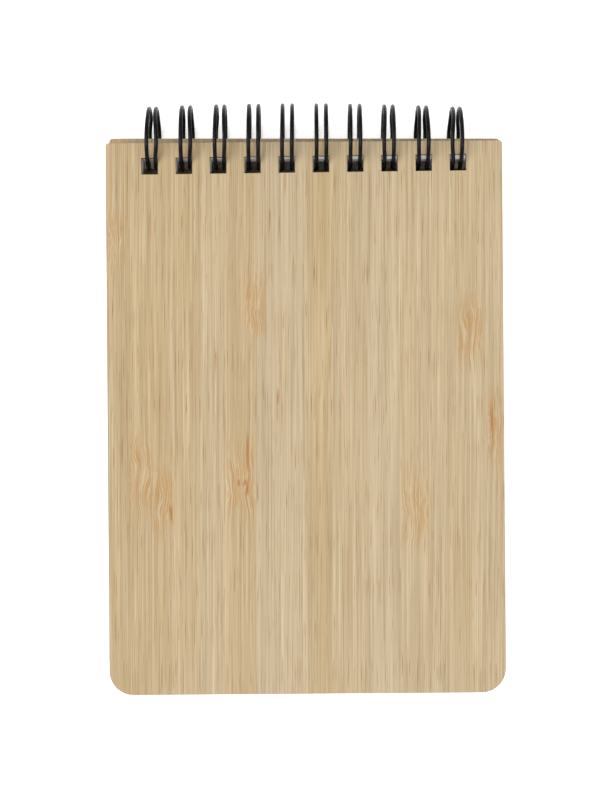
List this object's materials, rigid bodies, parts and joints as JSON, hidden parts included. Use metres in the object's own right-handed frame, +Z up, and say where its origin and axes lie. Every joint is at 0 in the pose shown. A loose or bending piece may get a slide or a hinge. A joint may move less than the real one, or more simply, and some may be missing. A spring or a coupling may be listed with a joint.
{
  "type": "pocket notebook",
  "caption": "Top-bound pocket notebook: pale bamboo covers with square punched holes, ruled paper leaves and a black twin-loop wire binding that everything turns on.",
  "frame": {"origin": "middle of the back cover's outer face, where the notebook lies", "axes": "+Z up through the block towards the front cover, +Y along the length towards the wire binding, +X along the spine to the right seen from the front"},
  "size_m": [0.099, 0.1465, 0.0163],
  "materials": {
    "bamboo_face": "sanded bamboo veneer, matte",
    "bamboo_core": "cut ply edge, lightly scorched",
    "bamboo_lining": "sanded bamboo veneer, matte",
    "paper": "uncoated writing paper",
    "coated_wire": "black nylon-coated steel, satin"
  },
  "bodies": {
    "back_cover": {"back_cover_face_ply": "bamboo_face", "back_cover_core_ply": "bamboo_core", "back_cover_lining_ply": "bamboo_lining", "binding_wire": "coated_wire"},
    "turning_leaf_50": {"leaf_50": "paper"},
    "turning_leaf_49": {"leaf_49": "paper"},
    "turning_leaf_48": {"leaf_48": "paper"},
    "turning_leaf_47": {"leaf_47": "paper"},
    "turning_leaf_46": {"leaf_46": "paper"},
    "turning_leaf_45": {"leaf_45": "paper"},
    "turning_leaf_44": {"leaf_44": "paper"},
    "turning_leaf_43": {"leaf_43": "paper"},
    "turning_leaf_42": {"leaf_42": "paper"},
    "turning_leaf_41": {"leaf_41": "paper"},
    "turning_leaf_40": {"leaf_40": "paper"},
    "turning_leaf_39": {"leaf_39": "paper"},
    "turning_leaf_38": {"leaf_38": "paper"},
    "turning_leaf_37": {"leaf_37": "paper"},
    "turning_leaf_36": {"leaf_36": "paper"},
    "turning_leaf_35": {"leaf_35": "paper"},
    "turning_leaf_34": {"leaf_34": "paper"},
    "turning_leaf_33": {"leaf_33": "paper"},
    "turning_leaf_32": {"leaf_32": "paper"},
    "turning_leaf_31": {"leaf_31": "paper"},
    "turning_leaf_30": {"leaf_30": "paper"},
    "turning_leaf_29": {"leaf_29": "paper"},
    "turning_leaf_28": {"leaf_28": "paper"},
    "turning_leaf_27": {"leaf_27": "paper"},
    "turning_leaf_26": {"leaf_26": "paper"},
    "turning_leaf_25": {"leaf_25": "paper"},
    "turning_leaf_24": {"leaf_24": "paper"},
    "turning_leaf_23": {"leaf_23": "paper"},
    "turning_leaf_22": {"leaf_22": "paper"},
    "turning_leaf_21": {"leaf_21": "paper"},
    "turning_leaf_20": {"leaf_20": "paper"},
    "turning_leaf_19": {"leaf_19": "paper"},
    "turning_leaf_18": {"leaf_18": "paper"},
    "turning_leaf_17": {"leaf_17": "paper"},
    "turning_leaf_16": {"leaf_16": "paper"},
    "turning_leaf_15": {"leaf_15": "paper"},
    "turning_leaf_14": {"leaf_14": "paper"},
    "turning_leaf_13": {"leaf_13": "paper"},
    "turning_leaf_12": {"leaf_12": "paper"},
    "turning_leaf_11": {"leaf_11": "paper"},
    "turning_leaf_10": {"leaf_10": "paper"},
    "turning_leaf_09": {"leaf_09": "paper"},
    "turning_leaf_08": {"leaf_08": "paper"},
    "turning_leaf_07": {"leaf_07": "paper"},
    "turning_leaf_06": {"leaf_06": "paper"},
    "turning_leaf_05": {"leaf_05": "paper"},
    "turning_leaf_04": {"leaf_04": "paper"},
    "turning_leaf_03": {"leaf_03": "paper"},
    "turning_leaf_02": {"leaf_02": "paper"},
    "turning_leaf_01": {"leaf_01": "paper"},
    "front_cover": {"front_cover_face_ply": "bamboo_face", "front_cover_core_ply": "bamboo_core", "front_cover_lining_ply": "bamboo_lining"}
  },
  "joints": [
    {"name": "front_cover_turn", "type": "hinge", "parent": "turning_leaf_01", "child": "front_cover", "pos_m": [0, 0.06791, 0.00546], "axis": [-1, 0, 0], "range_deg": [0, 180]},
    {"name": "leaf_01_turn", "type": "hinge", "parent": "turning_leaf_02", "child": "turning_leaf_01", "pos_m": [0, 0.06791, 0.00546], "axis": [-1, 0, 0], "range_deg": [0, 180]},
    {"name": "leaf_02_turn", "type": "hinge", "parent": "turning_leaf_03", "child": "turning_leaf_02", "pos_m": [0, 0.06791, 0.00546], "axis": [-1, 0, 0], "range_deg": [0, 180]},
    {"name": "leaf_03_turn", "type": "hinge", "parent": "turning_leaf_04", "child": "turning_leaf_03", "pos_m": [0, 0.06791, 0.00546], "axis": [-1, 0, 0], "range_deg": [0, 180]},
    {"name": "leaf_04_turn", "type": "hinge", "parent": "turning_leaf_05", "child": "turning_leaf_04", "pos_m": [0, 0.06791, 0.00546], "axis": [-1, 0, 0], "range_deg": [0, 180]},
    {"name": "leaf_05_turn", "type": "hinge", "parent": "turning_leaf_06", "child": "turning_leaf_05", "pos_m": [0, 0.06791, 0.00546], "axis": [-1, 0, 0], "range_deg": [0, 180]},
    {"name": "leaf_06_turn", "type": "hinge", "parent": "turning_leaf_07", "child": "turning_leaf_06", "pos_m": [0, 0.06791, 0.00546], "axis": [-1, 0, 0], "range_deg": [0, 180]},
    {"name": "leaf_07_turn", "type": "hinge", "parent": "turning_leaf_08", "child": "turning_leaf_07", "pos_m": [0, 0.06791, 0.00546], "axis": [-1, 0, 0], "range_deg": [0, 180]},
    {"name": "leaf_08_turn", "type": "hinge", "parent": "turning_leaf_09", "child": "turning_leaf_08", "pos_m": [0, 0.06791, 0.00546], "axis": [-1, 0, 0], "range_deg": [0, 180]},
    {"name": "leaf_09_turn", "type": "hinge", "parent": "turning_leaf_10", "child": "turning_leaf_09", "pos_m": [0, 0.06791, 0.00546], "axis": [-1, 0, 0], "range_deg": [0, 180]},
    {"name": "leaf_10_turn", "type": "hinge", "parent": "turning_leaf_11", "child": "turning_leaf_10", "pos_m": [0, 0.06791, 0.00546], "axis": [-1, 0, 0], "range_deg": [0, 180]},
    {"name": "leaf_11_turn", "type": "hinge", "parent": "turning_leaf_12", "child": "turning_leaf_11", "pos_m": [0, 0.06791, 0.00546], "axis": [-1, 0, 0], "range_deg": [0, 180]},
    {"name": "leaf_12_turn", "type": "hinge", "parent": "turning_leaf_13", "child": "turning_leaf_12", "pos_m": [0, 0.06791, 0.00546], "axis": [-1, 0, 0], "range_deg": [0, 180]},
    {"name": "leaf_13_turn", "type": "hinge", "parent": "turning_leaf_14", "child": "turning_leaf_13", "pos_m": [0, 0.06791, 0.00546], "axis": [-1, 0, 0], "range_deg": [0, 180]},
    {"name": "leaf_14_turn", "type": "hinge", "parent": "turning_leaf_15", "child": "turning_leaf_14", "pos_m": [0, 0.06791, 0.00546], "axis": [-1, 0, 0], "range_deg": [0, 180]},
    {"name": "leaf_15_turn", "type": "hinge", "parent": "turning_leaf_16", "child": "turning_leaf_15", "pos_m": [0, 0.06791, 0.00546], "axis": [-1, 0, 0], "range_deg": [0, 180]},
    {"name": "leaf_16_turn", "type": "hinge", "parent": "turning_leaf_17", "child": "turning_leaf_16", "pos_m": [0, 0.06791, 0.00546], "axis": [-1, 0, 0], "range_deg": [0, 180]},
    {"name": "leaf_17_turn", "type": "hinge", "parent": "turning_leaf_18", "child": "turning_leaf_17", "pos_m": [0, 0.06791, 0.00546], "axis": [-1, 0, 0], "range_deg": [0, 180]},
    {"name": "leaf_18_turn", "type": "hinge", "parent": "turning_leaf_19", "child": "turning_leaf_18", "pos_m": [0, 0.06791, 0.00546], "axis": [-1, 0, 0], "range_deg": [0, 180]},
    {"name": "leaf_19_turn", "type": "hinge", "parent": "turning_leaf_20", "child": "turning_leaf_19", "pos_m": [0, 0.06791, 0.00546], "axis": [-1, 0, 0], "range_deg": [0, 180]},
    {"name": "leaf_20_turn", "type": "hinge", "parent": "turning_leaf_21", "child": "turning_leaf_20", "pos_m": [0, 0.06791, 0.00546], "axis": [-1, 0, 0], "range_deg": [0, 180]},
    {"name": "leaf_21_turn", "type": "hinge", "parent": "turning_leaf_22", "child": "turning_leaf_21", "pos_m": [0, 0.06791, 0.00546], "axis": [-1, 0, 0], "range_deg": [0, 180]},
    {"name": "leaf_22_turn", "type": "hinge", "parent": "turning_leaf_23", "child": "turning_leaf_22", "pos_m": [0, 0.06791, 0.00546], "axis": [-1, 0, 0], "range_deg": [0, 180]},
    {"name": "leaf_23_turn", "type": "hinge", "parent": "turning_leaf_24", "child": "turning_leaf_23", "pos_m": [0, 0.06791, 0.00546], "axis": [-1, 0, 0], "range_deg": [0, 180]},
    {"name": "leaf_24_turn", "type": "hinge", "parent": "turning_leaf_25", "child": "turning_leaf_24", "pos_m": [0, 0.06791, 0.00546], "axis": [-1, 0, 0], "range_deg": [0, 180]},
    {"name": "leaf_25_turn", "type": "hinge", "parent": "turning_leaf_26", "child": "turning_leaf_25", "pos_m": [0, 0.06791, 0.00546], "axis": [-1, 0, 0], "range_deg": [0, 180]},
    {"name": "leaf_26_turn", "type": "hinge", "parent": "turning_leaf_27", "child": "turning_leaf_26", "pos_m": [0, 0.06791, 0.00546], "axis": [-1, 0, 0], "range_deg": [0, 180]},
    {"name": "leaf_27_turn", "type": "hinge", "parent": "turning_leaf_28", "child": "turning_leaf_27", "pos_m": [0, 0.06791, 0.00546], "axis": [-1, 0, 0], "range_deg": [0, 180]},
    {"name": "leaf_28_turn", "type": "hinge", "parent": "turning_leaf_29", "child": "turning_leaf_28", "pos_m": [0, 0.06791, 0.00546], "axis": [-1, 0, 0], "range_deg": [0, 180]},
    {"name": "leaf_29_turn", "type": "hinge", "parent": "turning_leaf_30", "child": "turning_leaf_29", "pos_m": [0, 0.06791, 0.00546], "axis": [-1, 0, 0], "range_deg": [0, 180]},
    {"name": "leaf_30_turn", "type": "hinge", "parent": "turning_leaf_31", "child": "turning_leaf_30", "pos_m": [0, 0.06791, 0.00546], "axis": [-1, 0, 0], "range_deg": [0, 180]},
    {"name": "leaf_31_turn", "type": "hinge", "parent": "turning_leaf_32", "child": "turning_leaf_31", "pos_m": [0, 0.06791, 0.00546], "axis": [-1, 0, 0], "range_deg": [0, 180]},
    {"name": "leaf_32_turn", "type": "hinge", "parent": "turning_leaf_33", "child": "turning_leaf_32", "pos_m": [0, 0.06791, 0.00546], "axis": [-1, 0, 0], "range_deg": [0, 180]},
    {"name": "leaf_33_turn", "type": "hinge", "parent": "turning_leaf_34", "child": "turning_leaf_33", "pos_m": [0, 0.06791, 0.00546], "axis": [-1, 0, 0], "range_deg": [0, 180]},
    {"name": "leaf_34_turn", "type": "hinge", "parent": "turning_leaf_35", "child": "turning_leaf_34", "pos_m": [0, 0.06791, 0.00546], "axis": [-1, 0, 0], "range_deg": [0, 180]},
    {"name": "leaf_35_turn", "type": "hinge", "parent": "turning_leaf_36", "child": "turning_leaf_35", "pos_m": [0, 0.06791, 0.00546], "axis": [-1, 0, 0], "range_deg": [0, 180]},
    {"name": "leaf_36_turn", "type": "hinge", "parent": "turning_leaf_37", "child": "turning_leaf_36", "pos_m": [0, 0.06791, 0.00546], "axis": [-1, 0, 0], "range_deg": [0, 180]},
    {"name": "leaf_37_turn", "type": "hinge", "parent": "turning_leaf_38", "child": "turning_leaf_37", "pos_m": [0, 0.06791, 0.00546], "axis": [-1, 0, 0], "range_deg": [0, 180]},
    {"name": "leaf_38_turn", "type": "hinge", "parent": "turning_leaf_39", "child": "turning_leaf_38", "pos_m": [0, 0.06791, 0.00546], "axis": [-1, 0, 0], "range_deg": [0, 180]},
    {"name": "leaf_39_turn", "type": "hinge", "parent": "turning_leaf_40", "child": "turning_leaf_39", "pos_m": [0, 0.06791, 0.00546], "axis": [-1, 0, 0], "range_deg": [0, 180]},
    {"name": "leaf_40_turn", "type": "hinge", "parent": "turning_leaf_41", "child": "turning_leaf_40", "pos_m": [0, 0.06791, 0.00546], "axis": [-1, 0, 0], "range_deg": [0, 180]},
    {"name": "leaf_41_turn", "type": "hinge", "parent": "turning_leaf_42", "child": "turning_leaf_41", "pos_m": [0, 0.06791, 0.00546], "axis": [-1, 0, 0], "range_deg": [0, 180]},
    {"name": "leaf_42_turn", "type": "hinge", "parent": "turning_leaf_43", "child": "turning_leaf_42", "pos_m": [0, 0.06791, 0.00546], "axis": [-1, 0, 0], "range_deg": [0, 180]},
    {"name": "leaf_43_turn", "type": "hinge", "parent": "turning_leaf_44", "child": "turning_leaf_43", "pos_m": [0, 0.06791, 0.00546], "axis": [-1, 0, 0], "range_deg": [0, 180]},
    {"name": "leaf_44_turn", "type": "hinge", "parent": "turning_leaf_45", "child": "turning_leaf_44", "pos_m": [0, 0.06791, 0.00546], "axis": [-1, 0, 0], "range_deg": [0, 180]},
    {"name": "leaf_45_turn", "type": "hinge", "parent": "turning_leaf_46", "child": "turning_leaf_45", "pos_m": [0, 0.06791, 0.00546], "axis": [-1, 0, 0], "range_deg": [0, 180]},
    {"name": "leaf_46_turn", "type": "hinge", "parent": "turning_leaf_47", "child": "turning_leaf_46", "pos_m": [0, 0.06791, 0.00546], "axis": [-1, 0, 0], "range_deg": [0, 180]},
    {"name": "leaf_47_turn", "type": "hinge", "parent": "turning_leaf_48", "child": "turning_leaf_47", "pos_m": [0, 0.06791, 0.00546], "axis": [-1, 0, 0], "range_deg": [0, 180]},
    {"name": "leaf_48_turn", "type": "hinge", "parent": "turning_leaf_49", "child": "turning_leaf_48", "pos_m": [0, 0.06791, 0.00546], "axis": [-1, 0, 0], "range_deg": [0, 180]},
    {"name": "leaf_49_turn", "type": "hinge", "parent": "turning_leaf_50", "child": "turning_leaf_49", "pos_m": [0, 0.06791, 0.00546], "axis": [-1, 0, 0], "range_deg": [0, 180]},
    {"name": "leaf_50_turn", "type": "hinge", "parent": "back_cover", "child": "turning_leaf_50", "pos_m": [0, 0.06791, 0.00546], "axis": [-1, 0, 0], "range_deg": [0, 180]}
  ]
}
